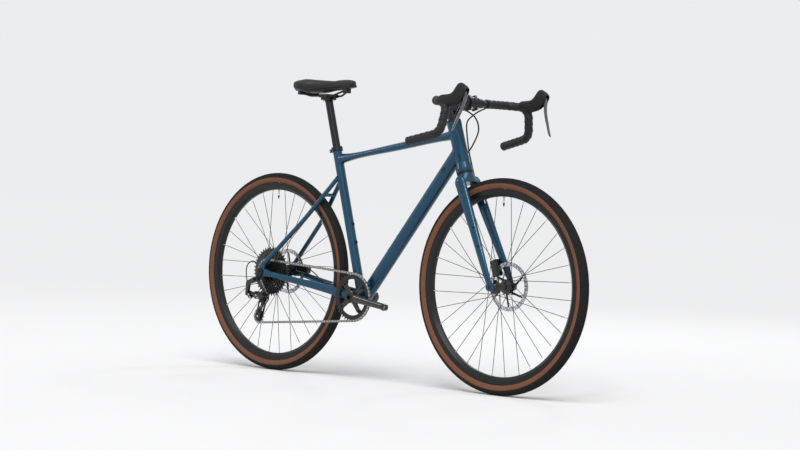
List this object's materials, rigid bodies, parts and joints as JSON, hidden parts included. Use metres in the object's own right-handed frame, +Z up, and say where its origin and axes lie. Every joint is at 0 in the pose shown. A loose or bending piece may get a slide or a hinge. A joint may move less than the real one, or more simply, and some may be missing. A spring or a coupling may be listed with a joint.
{
  "type": "gravel bicycle",
  "caption": "Gravel bicycle with drop handlebar, disc brakes, wide knobbly tan-wall tyres, single chainring and rear derailleur; steers, rolls, shifts and brakes.",
  "frame": {"origin": "on the ground, midway between the two wheels' contact points, in the bike's middle plane", "axes": "+X forward, +Y to the rider's left, +Z up"},
  "size_m": [1.7478, 0.506, 1.0301],
  "materials": {
    "frame_paint": "teal-blue gloss metallic paint over aluminium",
    "black_alloy": "satin black anodised",
    "black_steel": "black coated steel",
    "bright_steel": "bare steel, lightly oiled",
    "hood_rubber": "matt black rubber",
    "bar_wrap": "embossed black foam tape",
    "black_plastic": "black moulded",
    "saddle_cover": "black synthetic leather",
    "tyre_rubber": "black tread, tan side walls"
  },
  "bodies": {
    "frame": {"head_tube": "frame_paint", "top_tube": "frame_paint", "down_tube": "frame_paint", "seat_tube": "frame_paint", "bottom_bracket_shell": "frame_paint", "right_chainstay": "frame_paint", "left_chainstay": "frame_paint", "seatstays": "frame_paint", "derailleur_hanger": "black_alloy", "seat_clamp": "black_alloy", "bottle_bosses": "black_alloy", "bottom_bracket_cups": "black_alloy", "headset_bearings": "black_alloy", "rear_axle": "black_alloy", "rear_brake_caliper": "black_alloy", "derailleur_bracket": "black_alloy", "rear_cables": "black_plastic", "chain": "bright_steel", "control_cables": "black_plastic"},
    "seat": {"seatpost": "black_alloy", "saddle_clamp": "black_alloy", "saddle_rails": "black_steel", "saddle_base": "black_plastic", "saddle_pad": "saddle_cover"},
    "front_end": {"fork_crown": "frame_paint", "fork_blades": "frame_paint", "headset_spacers": "black_alloy", "stem": "black_alloy", "stem_faceplate": "black_alloy", "handlebar": "black_alloy", "bar_tape": "bar_wrap", "lever_hoods": "hood_rubber", "front_axle": "black_alloy", "front_brake_caliper": "black_alloy", "front_brake_hose": "black_plastic"},
    "right_lever": {"right_brake_lever": "black_alloy"},
    "left_lever": {"left_brake_lever": "black_alloy"},
    "paddle": {"shift_paddle": "black_steel"},
    "front_wheel": {"front_tyre": "tyre_rubber", "front_rim": "black_alloy", "front_hub": "black_alloy", "front_spokes": "black_steel", "front_rotor": "bright_steel"},
    "rear_wheel": {"rear_tyre": "tyre_rubber", "rear_rim": "black_alloy", "rear_hub": "black_alloy", "rear_spokes": "black_steel", "rear_rotor": "bright_steel"},
    "sprockets": {"freehub_body": "black_alloy", "cassette": "bright_steel"},
    "crankset": {"crank_spindle": "black_alloy", "right_crank_arm": "black_alloy", "left_crank_arm": "black_alloy", "chainring": "black_alloy"},
    "knuckle": {"derailleur_knuckle": "black_alloy"},
    "outer_link_body": {"outer_link": "black_alloy"},
    "inner_link_body": {"inner_link": "black_alloy"},
    "cage": {"derailleur_cage": "black_steel"},
    "guide": {"guide_pulley": "black_plastic"},
    "tension": {"tension_pulley": "black_plastic"}
  },
  "joints": [
    {"name": "steering", "type": "hinge", "parent": "frame", "child": "front_end", "pos_m": [0.47885, 0, 0.3364], "axis": [-0.314, 0, 0.9494], "range_deg": [-50, 50], "deforming": ["control_cables"]},
    {"name": "front_wheel_spin", "type": "hinge", "parent": "front_end", "child": "front_wheel", "pos_m": [0.523, 0, 0.351], "axis": [0, 1, 0], "continuous": true},
    {"name": "rear_wheel_spin", "type": "hinge", "parent": "frame", "child": "rear_wheel", "pos_m": [-0.523, 0, 0.351], "axis": [0, 1, 0], "continuous": true},
    {"name": "crank_spin", "type": "hinge", "parent": "frame", "child": "crankset", "pos_m": [-0.09801, 0, 0.283], "axis": [0, 1, 0], "continuous": true, "deforming": ["chain"]},
    {"name": "cassette_spin", "type": "hinge", "parent": "frame", "child": "sprockets", "pos_m": [-0.523, 0, 0.351], "axis": [0, 1, 0], "continuous": true, "deforming": ["chain"]},
    {"name": "derailleur_shift", "type": "slide", "parent": "frame", "child": "knuckle", "axis": [0, 0.5835, -0.8121], "range_m": [-0.032, 0.032], "deforming": ["chain"]},
    {"name": "outer_link_swing", "type": "hinge", "parent": "frame", "child": "outer_link_body", "pos_m": [-0.563, -0.0895, 0.27187], "axis": [0, 0.8121, 0.5835], "range_deg": [-55, 55]},
    {"name": "inner_link_swing", "type": "hinge", "parent": "frame", "child": "inner_link_body", "pos_m": [-0.563, -0.0825, 0.26213], "axis": [0, 0.8121, 0.5835], "range_deg": [-55, 55]},
    {"name": "cage_swing", "type": "hinge", "parent": "knuckle", "child": "cage", "pos_m": [-0.537, -0.0463, 0.259], "axis": [0, 1, 0], "range_deg": [-40, 20], "stiffness_Nm_per_rad": 1.5, "deforming": ["chain"]},
    {"name": "guide_pulley_spin", "type": "hinge", "parent": "cage", "child": "guide", "pos_m": [-0.537, -0.0463, 0.259], "axis": [0, 1, 0], "continuous": true, "deforming": ["chain"]},
    {"name": "tension_pulley_spin", "type": "hinge", "parent": "cage", "child": "tension", "pos_m": [-0.55718, -0.0463, 0.18989], "axis": [0, 1, 0], "continuous": true, "deforming": ["chain"]},
    {"name": "right_brake", "type": "hinge", "parent": "front_end", "child": "right_lever", "pos_m": [0.51202, -0.201, 0.9565], "axis": [0, 1, 0], "range_deg": [0, 16], "stiffness_Nm_per_rad": 1.5, "springref_deg": -5.73},
    {"name": "left_brake", "type": "hinge", "parent": "front_end", "child": "left_lever", "pos_m": [0.51202, 0.201, 0.9565], "axis": [0, 1, 0], "range_deg": [0, 16], "stiffness_Nm_per_rad": 1.5, "springref_deg": -5.73},
    {"name": "shift_paddle_swing", "type": "hinge", "parent": "right_lever", "child": "paddle", "pos_m": [0.50752, -0.21, 0.9235], "axis": [1, 0, 0], "range_deg": [0, 12], "stiffness_Nm_per_rad": 0.4, "springref_deg": -5.73},
    {"name": "seatpost_height", "type": "slide", "parent": "frame", "child": "seat", "axis": [-0.2672, 0, 0.9636], "range_m": [-0.05, 0.03]}
  ],
  "couplings": [
    {"joint": "cassette_spin", "follows": "crank_spin", "ratio": 1.9048},
    {"joint": "guide_pulley_spin", "follows": "crank_spin", "ratio": -3.6364},
    {"joint": "tension_pulley_spin", "follows": "crank_spin", "ratio": 3.6364},
    {"joint": "outer_link_swing", "follows": "derailleur_shift", "rad_per_m": 27.5},
    {"joint": "inner_link_swing", "follows": "derailleur_shift", "rad_per_m": 27.5}
  ]
}
